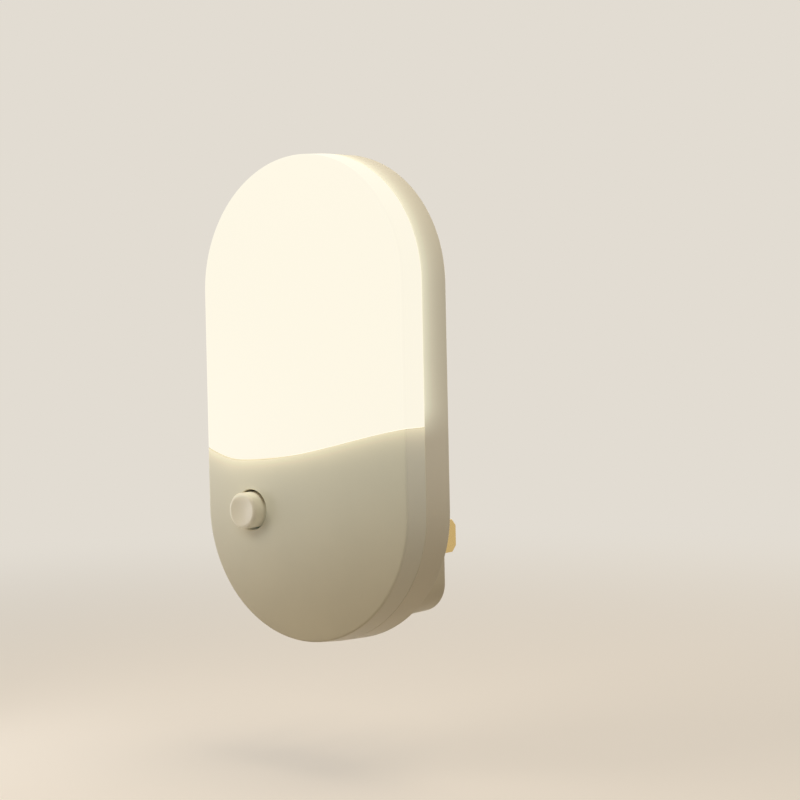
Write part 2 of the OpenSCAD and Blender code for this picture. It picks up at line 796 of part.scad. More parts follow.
// A tube of radius r swept along points
function unit(v) = v / norm(v);
function ring(p, along, side, r, sides) =
    let (a = unit(cross(along, side)), b = unit(cross(a, along)))
    [for (i = [0 : sides - 1]) p + r * (cos(360 * i / sides) * a + sin(360 * i / sides) * b)];
module tube(path, side, r, sides) {
    n = len(path);
    points = [
        for (i = [0 : n - 1])
            let (along = path[min(i + 1, n - 1)] - path[max(i - 1, 0)])
            each ring(path[i], along, side, r, sides)
    ];
    walls = [
        for (i = [0 : n - 2], j = [0 : sides - 1])
            let (k = (j + 1) % sides)
            [i * sides + j, (i + 1) * sides + j, (i + 1) * sides + k, i * sides + k]
    ];
    ends = [[for (j = [0 : sides - 1]) j], [for (j = [0 : sides - 1]) n * sides - 1 - j]];
    polyhedron(points, concat(walls, ends));
}

spring_z = driver_top + switch_floor_t + spring_wire / 2 + touch;
spring_top = plunger_rest - flange_t + spring_seat - spring_wire / 2 - touch;
spring_steps = 14;

module switch_spring() color("silver") on_wall() translate([button_at[0], button_at[1], 0]) {
    r = (spring_d - spring_wire) / 2;
    n = spring_turns * spring_steps;
    path = [
        for (i = [0 : n])
            let (a = 360 * i / spring_steps, z = spring_z + (spring_top - spring_z) * i / n)
            [r * cos(a), r * sin(a), z]
    ];
    tube(path, [0, 0, 1], spring_wire / 2, 6);
}

module switch_legs() color("silver") on_wall()
    translate([button_at[0], button_at[1], driver_top])
        for (y = [-1, 1], x = [-1 : 1])
            translate([x * switch_leg_pitch, y * (switch_w / 2 + touch), 0])
                mirror([0, y < 0 ? 1 : 0, 0]) translate([-switch_leg_w / 2, 0, 0]) {
                    cube([switch_leg_w, switch_leg_reach, switch_leg_t]);
                    cube([switch_leg_w, switch_leg_t, 4 * switch_leg_t]);
                }

module led_board() color("white") on_wall() {
    difference() {
        layer(led_z, led_top) intersection() {
            outline(board_inset);
            translate([-body_w / 2, led_bottom]) square([body_w, body_h]);
        }
        at_led_screws() cylinder(d = small_screw_d + 4 * slip, h = front_z);
    }
}

module led_chips() color("yellow") on_wall() {
    cup_depth = 0.2;
    cup_d = led_w - 0.4;
    for (i = [0 : led_columns - 1], j = [0 : led_rows - 1])
        translate([
            (i - (led_columns - 1) / 2) * led_column_pitch,
            led_low_y + j * led_row_pitch, led_top
        ]) difference() {
            translate([-led_l / 2, -led_w / 2, 0]) cube([led_l, led_w, led_h]);
            translate([0, 0, led_h - cup_depth])
                cylinder(d1 = cup_d - 2 * cup_depth, d2 = cup_d + cup_depth, h = 1.5 * cup_depth);
        }
}

module led_resistors() color("darkslategray") on_wall()
    for (x = led_resistor_x) translate([x, led_pad_y, led_top + chip_size[2] / 2])
        cube(chip_size, center = true);

// A lead that leaves point a towards b and reaches point d from c, square to both its ends
lead_stub = 0.15;
function curve(a, b, c, d, n) =
    let (p = a + lead_stub * unit(b - a), q = d + lead_stub * unit(c - d))
    concat([a], [
        for (i = [0 : n])
            let (t = i / n, s = 1 - t)
            s * s * s * p + 3 * s * s * t * b + 3 * s * t * t * c + t * t * t * q
    ], [d]);
module mains_lead() {
    start = [blade_pitch / 2 + blade_t / 2, 0, tail_z - mains_lead_drop];
    end = [mains_pad[0], mains_pad[1], driver_z];
    bend_out = start + [mains_bend[0], 0, 0];
    bend_in = end - [0, 0, mains_bend[1]];
    tube(curve(start, bend_out, bend_in, end, 8), [0, 1, 0], mains_lead_d / 2, 8);
}
module line_lead() color("saddlebrown") on_wall() mirror([1, 0, 0]) mains_lead();
module neutral_lead() color("royalblue") on_wall() mains_lead();

module led_lead(x) {
    start = [x, driver_pad_y, driver_top];
    end = [x, led_pad_y, led_top];
    rise = [0, 0, led_lead_rise];
    tube(curve(start, start + rise, end + rise, end, 10), [1, 0, 0], led_lead_d / 2, 8);
}
module led_lead_plus() color("firebrick") on_wall() led_lead(led_lead_x[0]);
module led_lead_minus() color("black") on_wall() led_lead(led_lead_x[1]);

module housing_screws() color("silver") on_wall() at_housing_screws()
    translate([0, 0, tube_seat_z]) rotate([180, 0, 0])
        screw(housing_screw_d, housing_screw_l, housing_head_r, housing_head_h);

module led_board_screws() color("silver") on_wall() at_led_screws()
    translate([0, 0, led_top]) screw(small_screw_d, small_screw_l, small_head_r, small_head_h);

module driver_board_screws() color("silver") on_wall() at_driver_screws()
    translate([0, 0, driver_top]) screw(small_screw_d, small_screw_l, small_head_r, small_head_h);

rear_housing();
diffuser();
front_cover();
push_button();
line_blade();
neutral_blade();
blade_retainer();
retainer_screws();
driver_board();
film_capacitor();
smoothing_capacitor();
bridge_rectifier();
fuse_resistor();
bleed_resistor();
chip_resistors();
switch_body();
switch_plunger();
switch_spring();
switch_legs();
led_board();
led_chips();
led_resistors();
line_lead();
neutral_lead();
led_lead_plus();
led_lead_minus();
housing_screws();
led_board_screws();
driver_board_screws();
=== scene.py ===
import math

import bmesh
import bpy
from mathutils import Euler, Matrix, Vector
from mathutils.geometry import delaunay_2d_cdt


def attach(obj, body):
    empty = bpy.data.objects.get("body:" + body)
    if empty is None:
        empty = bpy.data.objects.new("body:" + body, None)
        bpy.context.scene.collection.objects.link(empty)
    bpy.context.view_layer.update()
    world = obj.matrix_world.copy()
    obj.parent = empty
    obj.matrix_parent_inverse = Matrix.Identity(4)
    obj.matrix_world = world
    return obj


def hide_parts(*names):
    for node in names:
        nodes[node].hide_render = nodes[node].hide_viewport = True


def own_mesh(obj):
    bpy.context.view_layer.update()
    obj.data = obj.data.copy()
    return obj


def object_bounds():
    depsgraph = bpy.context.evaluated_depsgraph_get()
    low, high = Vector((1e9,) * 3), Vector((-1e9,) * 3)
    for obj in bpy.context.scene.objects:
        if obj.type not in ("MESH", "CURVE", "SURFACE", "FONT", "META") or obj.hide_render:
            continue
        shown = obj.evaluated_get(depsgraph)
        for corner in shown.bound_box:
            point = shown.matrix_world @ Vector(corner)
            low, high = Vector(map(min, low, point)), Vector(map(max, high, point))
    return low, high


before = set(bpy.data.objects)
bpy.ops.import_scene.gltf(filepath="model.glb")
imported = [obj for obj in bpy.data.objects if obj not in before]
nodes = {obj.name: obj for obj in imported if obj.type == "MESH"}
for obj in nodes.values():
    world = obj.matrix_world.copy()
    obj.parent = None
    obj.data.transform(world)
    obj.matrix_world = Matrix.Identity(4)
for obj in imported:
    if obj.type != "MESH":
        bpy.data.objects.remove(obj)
cad_box = [list(corner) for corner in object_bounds()]

# Sizes are in millimetres along the frame's own axes: the front faces -Y, and Z is up
MM = 0.001

# ---- Rear housing -----------------------------------------------------------------------------
# The back half of the casing with the plug boss, moulded in one piece from ivory ABS.
# The front parts snap into pockets in its wall, and two screws from behind hold the cover to it.
# Painted glow on its wall stands in for light: close behind the diffuser, and as a wash down it.

IVORY_ABS = "#D1C7AA"

# The wave along which the diffuser meets the cover, and the plane where both meet the housing
WAVE_TROUGH_X = -15
WAVE_TROUGH_Z = 16.48
WAVE_RISE = 6.8
WAVE_LEFT_RUN = 22
WAVE_RIGHT_RUN = 50
PARTING_Y = -16.1

# Moulds are spark-eroded to a grain of about 0.1 mm, too fine to show, so it is drawn 2.5 to
# 3.5 times as coarse. Tone drifts over patches the size of a moulding's flow marks.
GRAIN = 0.35
FLOW = 14

# ABS, which the lamp's other plastics and lacquers are close to
ABS_IOR = 1.53

# How far the gloss varies, and between which values most of a noise lies
GLOSS_SPREAD = 0.05
NOISE_LOW = 0.3
NOISE_HIGH = 0.7

# Painted glow: close behind the diffuser above the wave, and a painted wash down the whole wall
PAINTED_NEAR_GLOW = "#AAAC99"
NEAR_LENGTH = 2.8
NEAR_FROM = -3
NEAR_FULL = 4
PAINTED_WALL_GLOW = "#73716A"
WASH_LENGTH = 22


def srgb(code):
    """An sRGB hex colour as linear red, green, blue and alpha."""
    parts = [int(code[i : i + 2], 16) / 255 for i in (1, 3, 5)]
    linear = [p / 12.92 if p <= 0.04045 else ((p + 0.055) / 1.055) ** 2.4 for p in parts]
    return (*linear, 1.0)


def bare_tree(owner):
    """The node tree of a material or a world, with nothing in it yet."""
    owner.use_nodes = True
    owner.node_tree.nodes.clear()
    return owner.node_tree


def add(tree, kind, inputs=None, **settings):
    """Adds one shader node, with its settings and its inputs as numbers or links."""
    made = tree.nodes.new("ShaderNode" + kind)
    for name, value in settings.items():
        setattr(made, name, value)
    for name, value in (inputs or {}).items():
        if isinstance(value, bpy.types.NodeSocket):
            tree.links.new(value, made.inputs[name])
        else:
            made.inputs[name].default_value = value
    return made


def new_finish(name, inputs):
    """A new material with one shader; returns both."""
    made = bpy.data.materials.new(name)
    tree = bare_tree(made)
    shader = add(tree, "BsdfPrincipled", inputs)
    add(tree, "OutputMaterial", {"Surface": shader.outputs[0]})
    return made, shader


def coloured(name, code, roughness, ior=ABS_IOR, grain=GRAIN, depth=0.006, mottle=0.03):
    """A coloured plastic, coating or glaze: fine grain under slow drifts of tone and gloss.

    The grain's width and depth are in millimetres, and mottle is the tone's drift as a share.
    """
    made, shader = new_finish(name, {"IOR": ior})
    tree = made.node_tree
    place = add(tree, "TexCoord").outputs["Object"]
    flow = add(tree, "TexNoise", {"Vector": place, "Scale": 1 / (FLOW * MM), "Detail": 3.0})
    erosion = add(tree, "TexNoise", {"Vector": place, "Scale": 1 / (grain * MM), "Detail": 2.0})
    plain = srgb(code)
    tone = add(tree, "ValToRGB", {"Fac": flow.outputs["Fac"]})
    darker, paler = tone.color_ramp.elements
    darker.position = NOISE_LOW
    paler.position = NOISE_HIGH
    darker.color = [c * (1 - mottle) for c in plain[:3]] + [1.0]
    paler.color = [min(1.0, c * (1 + mottle)) for c in plain[:3]] + [1.0]
    gloss = add(tree, "MapRange", {
        "Value": erosion.outputs["Fac"], "From Min": NOISE_LOW, "From Max": NOISE_HIGH,
        "To Min": roughness - GLOSS_SPREAD, "To Max": roughness + GLOSS_SPREAD,
    })
    bump = add(tree, "Bump", {
        "Height": erosion.outputs["Fac"], "Distance": depth * MM, "Strength": 1.0,
    })
    tree.links.new(tone.outputs["Color"], shader.inputs["Base Color"])
    tree.links.new(gloss.outputs["Result"], shader.inputs["Roughness"])
    tree.links.new(bump.outputs["Normal"], shader.inputs["Normal"])
    return made, shader


def height_over_wave(tree, place):
    """The surface's coordinates, and its height over the wave's line, all in metres."""
    axes = add(tree, "SeparateXYZ", {"Vector": place})
    along = add(tree, "Math", {
        0: axes.outputs["X"], 1: WAVE_TROUGH_X * MM,
    }, operation="SUBTRACT")
    left = add(tree, "Math", {0: along.outputs[0], 1: 0.0}, operation="LESS_THAN")
    run = add(tree, "Math", {
        0: left.outputs[0], 1: (WAVE_LEFT_RUN - WAVE_RIGHT_RUN) * MM, 2: WAVE_RIGHT_RUN * MM,
    }, operation="MULTIPLY_ADD")
    part = add(tree, "Math", {0: along.outputs[0], 1: run.outputs[0]}, operation="DIVIDE")
    turn = add(tree, "Math", {0: part.outputs[0], 1: math.pi}, operation="MULTIPLY")
    swing = add(tree, "Math", {0: turn.outputs[0]}, operation="COSINE")
    crest = add(tree, "Math", {
        0: swing.outputs[0], 1: -WAVE_RISE / 2 * MM, 2: (WAVE_TROUGH_Z + WAVE_RISE / 2) * MM,
    }, operation="MULTIPLY_ADD")
    return axes, add(tree, "Math", {0: axes.outputs["Z"], 1: crest.outputs[0]}, operation="SUBTRACT")


def fading(tree, distance, length, power=1):
    """Light that falls off with distance, to about a third over that length."""
    share = add(tree, "Math", {0: distance, 1: 1 / length}, operation="MULTIPLY")
    bent = add(tree, "Math", {0: share.outputs[0], 1: power}, operation="POWER")
    below = add(tree, "Math", {0: bent.outputs[0], 1: -1.0}, operation="MULTIPLY")
    return add(tree, "Math", {0: below.outputs[0]}, operation="EXPONENT")


def paint_glow(shader, painted_glow):
    """Paints light onto a surface that is no lamp, as emission worked out by a vector node."""
    shader.id_data.links.new(painted_glow.outputs[0], shader.inputs["Emission Color"])
    shader.inputs["Emission Strength"].default_value = 1.0


def dress(piece, made):
    """Puts one material on a piece."""
    piece.data.materials.clear()
    piece.data.materials.append(made)


# Satin ABS: the fine, shallow grain breaks up highlights, so the wall looks soft and dry
housing_plastic, shader = coloured(
    "ivory_abs_housing", IVORY_ABS, roughness=0.42, grain=0.25, depth=0.0015)
tree = housing_plastic.node_tree
# Painted light: emission strongest close behind the diffuser above the wave, and a wash fading down
place = add(tree, "TexCoord").outputs["Object"]
axes, over = height_over_wave(tree, place)
back = add(tree, "Math", {0: axes.outputs["Y"], 1: PARTING_Y * MM}, operation="SUBTRACT")
painted_glow_zone = add(tree, "MapRange", {
    "Value": over.outputs[0], "From Min": NEAR_FROM * MM, "From Max": NEAR_FULL * MM,
    "To Min": 0.0, "To Max": 1.0,
}, interpolation_type="SMOOTHSTEP")
near = fading(tree, back.outputs[0], NEAR_LENGTH * MM)
near = add(tree, "Math", {0: near.outputs[0], 1: painted_glow_zone.outputs["Result"]}, operation="MULTIPLY")
near = add(tree, "VectorMath", {
    0: srgb(PAINTED_NEAR_GLOW)[:3], "Scale": near.outputs[0],
}, operation="SCALE")
under = add(tree, "Math", {0: over.outputs[0], 1: -1.0}, operation="MULTIPLY")
under = add(tree, "Math", {0: under.outputs[0], 1: 0.0}, operation="MAXIMUM")
painted_wash = fading(tree, under.outputs[0], WASH_LENGTH * MM, power=2)
painted_wash = add(tree, "VectorMath", {
    0: srgb(PAINTED_WALL_GLOW)[:3], "Scale": painted_wash.outputs[0],
}, operation="SCALE")
painted_glow = add(tree, "VectorMath", {0: near.outputs[0], 1: painted_wash.outputs[0]}, operation="ADD")
paint_glow(shader, painted_glow)
dress(nodes["rear_housing"], housing_plastic)

# ---- Plug blades ------------------------------------------------------------------------------
# Two flat blades stamped from brass strip, trapped in the boss by their shoulders.
# A hole in each tail takes its lead. Tumbling rounds their edges and softens their shine.

BLADE_PITCH = 12.7
BLADE_T = 1.5
BLADE_EDGE = 0.14
BLADE_HALF = 3.2
BLADE_REACH = 16
BLADE_TIP = 1.2
SHOULDER_HALF = 4.3
SHOULDER_FRONT = -3.8
SHOULDER_BACK = -2.2
TAIL_HALF = 2.0
TAIL_END = -8.2
TAIL_HOLE_Y = -6.9
TAIL_HOLE_R = 0.5
TAIL_HOLE_SIDES = 24

# Half of a blade's outline, from tail to tip: half width, place along Y and the corner's radius
BLADE_OUTLINE = [
    (TAIL_HALF, TAIL_END, 0.3), (TAIL_HALF, SHOULDER_FRONT, 0.25),
    (SHOULDER_HALF, SHOULDER_FRONT, 0.2), (SHOULDER_HALF, SHOULDER_BACK, 0.2),
    (BLADE_HALF, SHOULDER_BACK, 0.15), (BLADE_HALF, BLADE_REACH - BLADE_TIP, 0.4),
    (BLADE_HALF - BLADE_TIP, BLADE_REACH, 0.4),
]

# Metal's gloss drifts with its lines and with stains a few millimetres across
STAIN = 3
METAL_SPREAD = 0.3

# The steps in which a fine edge turns from one face to the next
EDGE_TURNS = [math.radians(angle) for angle in (90, 60, 30, 0)]

# Where shading breaks between faces, where a corner counts as straight (the cosine of its turn),
# and how close two points of a flat face are the same
SHARP_ANGLE = math.radians(32)
NEARLY_STRAIGHT = 0.9999
SAME_SPOT = 1e-5


def metal(name, code, roughness, line, depth=0.002):
    """Bare or plated metal with fine lines, whose width and length are in millimetres."""
    made, shader = new_finish(name, {"Base Color": srgb(code), "Metallic": 1.0})
    tree = made.node_tree
    place = add(tree, "TexCoord").outputs["Object"]
    width, length = line
    drawn = add(tree, "Mapping", {
        "Vector": place, "Scale": (1 / (width * MM), 1 / (length * MM), 1 / (width * MM)),
    })
    lines = add(tree, "TexNoise", {"Vector": drawn.outputs[0], "Scale": 1.0, "Detail": 2.0})
    stain = add(tree, "TexNoise", {"Vector": place, "Scale": 1 / (STAIN * MM), "Detail": 3.0})
    both = add(tree, "Math", {0: lines.outputs["Fac"], 1: stain.outputs["Fac"]}, operation="ADD")
    gloss = add(tree, "MapRange", {
        "Value": both.outputs[0], "From Min": 2 * NOISE_LOW, "From Max": 2 * NOISE_HIGH,
        "To Min": roughness * (1 - METAL_SPREAD), "To Max": roughness * (1 + METAL_SPREAD),
    })
    bump = add(tree, "Bump", {"Height": lines.outputs["Fac"], "Distance": depth * MM})
    tree.links.new(gloss.outputs["Result"], shader.inputs["Roughness"])
    tree.links.new(bump.outputs["Normal"], shader.inputs["Normal"])
    return made


def rounded(corners, closed=False, steps=4):
    """Points round a path's corners, each with the way out to its right.

    Each corner is two coordinates and a radius, and a radius of 0 leaves it sharp.
    """
    path = []
    last = len(corners) - 1
    for i, (a, b, radius) in enumerate(corners):
        here = Vector((a, b))
        before = here - Vector(corners[i - 1][:2])
        after = Vector(corners[(i + 1) % len(corners)][:2]) - here
        if not closed and i == 0:
            before = after
        if not closed and i == last:
            after = before
        before.normalize()
        after.normalize()
        first = Vector((before.y, -before.x))
        second = Vector((after.y, -after.x))
        if radius == 0 or before.dot(after) > NEARLY_STRAIGHT:
            path.append((here, (first + second) / (1 + first.dot(second))))
            continue
        turn = math.atan2(before.cross(after), before.dot(after))
        hand = math.copysign(1, turn)
        middle = here - hand * radius * (first + second) / (1 + first.dot(second))
        for step in range(steps + 1):
            angle = turn * step / steps
            out = Vector((
                first.x * math.cos(angle) - first.y * math.sin(angle),
                first.x * math.sin(angle) + first.y * math.cos(angle),
            ))
            path.append((middle + hand * radius * out, out))
    return path


def loop(form, points):
    """New vertices of a mesh at points in millimetres."""
    return [form.verts.new([value * MM for value in point]) for point in points]


def skin(form, loops, closed=True):
    """Walls between loops of as many vertices each."""
    for low, high in zip(loops, loops[1:]):
        for i in range(len(low) - (0 if closed else 1)):
            j = (i + 1) % len(low)
            form.faces.new((low[i], low[j], high[j], high[i]))


def holds(outline, spot):
    """Whether a flat outline goes round a spot."""
    inside = False
    for i, (x, y) in enumerate(outline):
        before = outline[i - 1]
        if (y > spot[1]) != (before[1] > spot[1]):
            if spot[0] < x + (spot[1] - y) / (before[1] - y) * (before[0] - x):
                inside = not inside
    return inside


def fill(form, loops, across, up):
    """Faces inside the first loop and outside the others, seen along the third axis."""
    flat = [[(v.co[across] / MM, v.co[up] / MM) for v in one] for one in loops]
    corners = [v for one in loops for v in one]
    edges = []
    for one in flat:
        start = len(edges)
        edges += [(start + i, start + (i + 1) % len(one)) for i in range(len(one))]
    places = [Vector(spot) for one in flat for spot in one]
    found, _, faces, origins, _, _ = delaunay_2d_cdt(places, edges, [], 0, SAME_SPOT)
    for face in faces:
        spot = sum((found[i] for i in face), Vector((0, 0))) / len(face)
        if holds(flat[0], spot) and not any(holds(hole, spot) for hole in flat[1:]):
            form.faces.new([corners[origins[i][0]] for i in face])


def plate(form, outline, levels, place, edge, holes=()):
    """A flat shape between two levels, its edges rounded; place turns it into the frame."""
    rims = [(edge * (1 - math.sin(a)), edge * (1 - math.cos(a))) for a in EDGE_TURNS]
    stack = [(levels[0] + depth, inset) for depth, inset in rims]
    stack += [(levels[1] - depth, inset) for depth, inset in reversed(rims)]
    walls = []
    for path in (outline, *holes):
        loops = []
        for level, inset in stack:
            spots = [spot - out * inset for spot, out in path]
            loops.append(loop(form, [place(spot.x, spot.y, level) for spot in spots]))
        skin(form, loops)
        walls.append(loops)
    facing = Vector(place(0, 0, 1)) - Vector(place(0, 0, 0))
    across, up = [axis for axis in range(3) if abs(facing[axis]) < 0.5]
    fill(form, [loops[0] for loops in walls], across, up)
    fill(form, [loops[-1] for loops in walls], across, up)


def fit(form, name, body, slot, made, *instead):
    """Closes a mesh into one named piece on its body, which stands for its nodes."""
    bmesh.ops.recalc_face_normals(form, faces=form.faces)
    mesh = bpy.data.meshes.new(name)
    form.to_mesh(mesh)
    form.free()
    mesh.shade_smooth()
    mesh.set_sharp_from_angle(angle=SHARP_ANGLE)
    piece = bpy.data.objects.new(name, mesh)
    bpy.context.scene.collection.objects.link(piece)
    shading = piece.modifiers.new("even_shading", "WEIGHTED_NORMAL")
    shading.keep_sharp = True
    dress(piece, made)
    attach(piece, body)
    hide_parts(*instead)
    return piece


# Tumbled brass: a warm, slightly blurred shine with fine lines along the strip. The rolls leave
# lines about 0.03 mm wide, which are drawn four times as wide to show.
blade_brass = metal("tumbled_brass", "#E3C788", roughness=0.26, line=(0.12, 2.5))
other_half = [(-a, b, radius) for a, b, radius in reversed(BLADE_OUTLINE)]
blade_outline = rounded(BLADE_OUTLINE + other_half, closed=True)
turns = [-math.tau * i / TAIL_HOLE_SIDES for i in range(TAIL_HOLE_SIDES)]
tail_hole = rounded([
    (TAIL_HOLE_R * math.cos(turn), TAIL_HOLE_Y + TAIL_HOLE_R * math.sin(turn), 0) for turn in turns
], closed=True)
for name, side in (("line_blade", -1), ("neutral_blade", 1)):
    form = bmesh.new()
    middle = side * BLADE_PITCH / 2
    plate(form, blade_outline, (middle - BLADE_T / 2, middle + BLADE_T / 2),
          lambda a, b, level: (level, b, a), edge=BLADE_EDGE, holes=[tail_hole])
    fit(form, name + "_stamping", "lamp", "blade_brass", blade_brass, name)

# ---- Blade retainer and screws ----------------------------------------------------------------
# A bar moulded from black nylon, which two small screws hold down on the blades' shoulders.
# All the lamp's screws are alike: steel, cold-headed, thread-rolled and zinc-plated.

# Filled nylon: a dull black whose surface is a little uneven
retainer_nylon, shader = coloured("black_nylon", "#2A2A2A", roughness=0.5, grain=0.25)
dress(nodes["blade_retainer"], retainer_nylon)

# Zinc plate: a cool grey with an even, blurred shine. Its grain of about 0.05 mm has no
# direction, and is drawn four times as coarse.
zinc_steel = metal("zinc_plated_steel", "#C9CBCC", roughness=0.30, line=(0.2, 0.2))
for name in ("retainer_screws", "led_board_screws", "driver_board_screws", "housing_screws"):
    dress(nodes[name], zinc_steel)

# ---- Driver board -----------------------------------------------------------------------------
# The parts of a capacitive dropper, soldered to a board of glass-filled epoxy.
# It is screwed to posts in the housing behind the button.

# The mask is a glossy green lacquer, through which the glass cloth shows as a faint texture.
# The cloth's threads lie about 0.6 mm apart, and are drawn twice as coarse.
CLOTH = 1.2

for name, finish, code, roughness, grain in (
    ("driver_board", "green_solder_mask", "#2F6B3F", 0.32, CLOTH),
    # A moulded box, mustard yellow and satin
    ("film_capacitor", "film_capacitor_box", "#C9A23A", 0.38, GRAIN),
    # A dark blue sleeve shrunk tight over the can, so it shines
    ("smoothing_capacitor", "shrink_sleeve", "#20284A", 0.25, GRAIN),
    # Epoxy pressed round the diodes: near black and dull
    ("bridge_rectifier", "moulded_epoxy", "#26262A", 0.5, GRAIN),
    # Both axial resistors are dipped in thick paint, which dries with a soft gloss
    ("fuse_resistor", "blue_dipped_coating", "#6F9DB8", 0.35, GRAIN),
    ("bleed_resistor", "tan_dipped_coating", "#D8C39A", 0.35, GRAIN),
):
    made, shader = coloured(finish, code, roughness, grain=grain)
    dress(nodes[name], made)

# The chips' resistive film lies under black glass, so it shines most of all
chip_glaze, shader = coloured("chip_resistor_glaze", "#1E1F22", roughness=0.22)
for name in ("chip_resistors", "led_resistors"):
    dress(nodes[name], chip_glaze)

# ---- Switch -----------------------------------------------------------------------------------
# A square push switch, soldered to the driver board: a black nylon body, a white acetal plunger
# that carries the button, tinned legs, and a return spring coiled from steel wire.

SPRING_X = -12.7
SPRING_Z = 7.3
SPRING_R = 0.85
SPRING_FRONT = -18.978
SPRING_SEAT = -13.972
SPRING_TURNS = 5
CLOSED_TURNS = 0.8
WIRE_R = 0.15
TURN_STEPS = 24
WIRE_SIDES = 10

# Plain nylon is a little glossier than the filled grade, and acetal is white and waxy
switch_nylon, shader = coloured("switch_nylon", "#2B2B2E", roughness=0.45)
dress(nodes["switch_body"], switch_nylon)
plunger_acetal, shader = coloured("white_acetal", "#ECEBE4", roughness=0.3)
dress(nodes["switch_plunger"], plunger_acetal)

# Dipped tin is bright and slightly streaked, and drawn wire shines along its fine die lines.
# These are a few hundredths of a millimetre wide or less, and are drawn wider to show.
leg_tin = metal("tinned_copper", "#D6D6D4", roughness=0.22, line=(0.1, 1.0))
dress(nodes["switch_legs"], leg_tin)
spring_wire = metal("spring_wire", "#B9BABD", roughness=0.2, line=(0.05, 0.5))

# The end turns lie closed against each other, and the turns between them are open
open_turns = SPRING_TURNS - 2 * CLOSED_TURNS
closed_rise = 2 * WIRE_R * CLOSED_TURNS
open_rise = SPRING_SEAT - SPRING_FRONT - 2 * WIRE_R - 2 * closed_rise
form = bmesh.new()
rings = []
for i in range(SPRING_TURNS * TURN_STEPS + 1):
    turn = i / TURN_STEPS
    opened = min(max((turn - CLOSED_TURNS) / open_turns, 0), 1)
    closed = turn - opened * open_turns
    y = SPRING_FRONT + WIRE_R + 2 * WIRE_R * closed + open_rise * opened
    angle = math.tau * turn
    ring = []
    for k in range(WIRE_SIDES):
        across = math.cos(math.tau * k / WIRE_SIDES) * WIRE_R
        rise = math.sin(math.tau * k / WIRE_SIDES) * WIRE_R
        ring.append((
            SPRING_X + (SPRING_R + across) * math.cos(angle), y + rise,
            SPRING_Z + (SPRING_R + across) * math.sin(angle),
        ))
    rings.append(loop(form, ring))
skin(form, rings)
form.faces.new(rings[0])
form.faces.new(rings[-1])
spring = fit(form, "return_spring", "lamp", "spring_steel", spring_wire, "switch_spring")
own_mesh(spring)

# ---- LED board --------------------------------------------------------------------------------
# A thin board behind the diffuser, screwed to posts in the housing, with LEDs in four rows of
# three. Each LED is a small moulded case, filled with yellow phosphor in clear silicone.

# White lacquer over glass cloth, glossy and faintly textured like the driver board
led_laminate, shader = coloured("white_solder_mask", "#F0F0EA", roughness=0.3, grain=CLOTH)
dress(nodes["led_board"], led_laminate)

# The phosphor fills most of an LED's face: pale yellow, and shiny from the silicone
led_phosphor, shader = coloured("led_phosphor", "#F2E08A", roughness=0.25)
dress(nodes["led_chips"], led_phosphor)

# ---- Leads ------------------------------------------------------------------------------------
# Short leads of stranded copper in extruded PVC, soldered at both ends: brown and blue from the
# blades to the driver board, red and black from there to the LED board.

# Soft PVC has a low, even gloss, and a faint ripple from the extruder about 0.6 mm long
RIPPLE = 0.6

for name, code in (
    ("line_lead", "#6B3D22"), ("neutral_lead", "#2F5FA8"),
    ("led_lead_plus", "#B3282A"), ("led_lead_minus", "#202022"),
):
    insulation, shader = coloured(name.replace("lead", "pvc"), code, roughness=0.35, grain=RIPPLE)
    dress(nodes[name], insulation)

# ---- Front cover ------------------------------------------------------------------------------
# The lower part of the front, moulded from ivory ABS, flush with the diffuser along the wave.
# A ledge behind the wave holds the diffuser's edge, and the button comes through a bore.
# One snap hook and two screws from the back hold the cover to the housing.

# The casing's outline is two half circles about these heights, joined by straight sides
BODY_R = 24.0
LOW_CENTRE = 7.6
HIGH_CENTRE = 47.6

# The section of both front parts, in radii and depths, with the radius of each corner
FRONT_Y = -20.8
FRONT_R = 23.45
RIM_WIDTH = 0.85
RIM_ROUND = 0.4
PARTING_ROUND = 0.12
RECESS_R = 23.1
RECESS_Y = -17.4
RECESS_ROUND = 0.06
WALL_R = 22.2
INNER_Y = -19.0
INNER_ROUND = 0.3
INNER_WIDTH = 1.0
SHOWN_MARGIN = 0.1

# The seam along the wave: its gap, its eased edge and the narrow band of faces beside that
SEAM_GAP = 0.12
SEAM_EDGE = 0.1
SEAM_BAND = 0.35

# How finely the section's corners, the round end and the width of the front are divided
SECTION_STEPS = 5
ARC_STEPS = 72
COLUMNS = 46

# Corner radii of the small inner features, and the rounded edge of thin ribs
FINE_ROUND = 0.1
SMALL_ROUND = 0.15
RIB_EDGE = 0.08

# A snap hook: its width, its faces and barb from the outline's centre, and its depths
HOOK_W = 5.0
HOOK_INNER = 20.95
HOOK_OUTER = 21.95
HOOK_ROOT_Y = -19.4
HOOK_END_Y = -12.1
BARB_R = 22.75
BARB_CATCH_Y = -13.6
BARB_TIP_Y = -13.2
BARB_LEAD_Y = -12.5

# The button's bore, with a collar round its back end
BUTTON_X = -12.7
BUTTON_Z = 7.3
BUTTON_HOLE_R = 3.7
HOLE_ROUND = 0.22
HOLE_MARGIN = 0.5
COLLAR_R = 4.7
COLLAR_Y = -18.2

# The ledge reaches as far above the wave as below it, and is rooted in the front below it
LEDGE_HALF = 21.9
LEDGE_RISE = 2.5
LEDGE_FRONT_Y = -18.9
LEDGE_BACK_Y = -17.9
LEDGE_CHAMFER = 0.2
LEDGE_ROOT_Y = -19.4
LEDGE_DROP = 0.3

# The screw bosses with their blind pilot holes, and the web that ties each to the wall
SCREW_X = 19.0
SCREW_Z = 13.2
BOSS_R = 2.3
BOSS_END_Y = -13.2
BOSS_ROUND = 0.25
PILOT_R = 1.1
PILOT_END_Y = -17.9
WEB_T = 1.0
WEB_R = 22.6
WEB_END_Y = -17.5
WEB_BITE = 0.3

# Painted glow: along the seam, a painted wash over the whole cover, and a little more on the skirt
PAINTED_EDGE_GLOW = "#ADA182"
EDGE_LENGTH = 1.8
PAINTED_WASH_GLOW = "#6A736E"
PAINTED_SKIRT_GLOW = "#423835"
SKIRT_STEP = 0.08
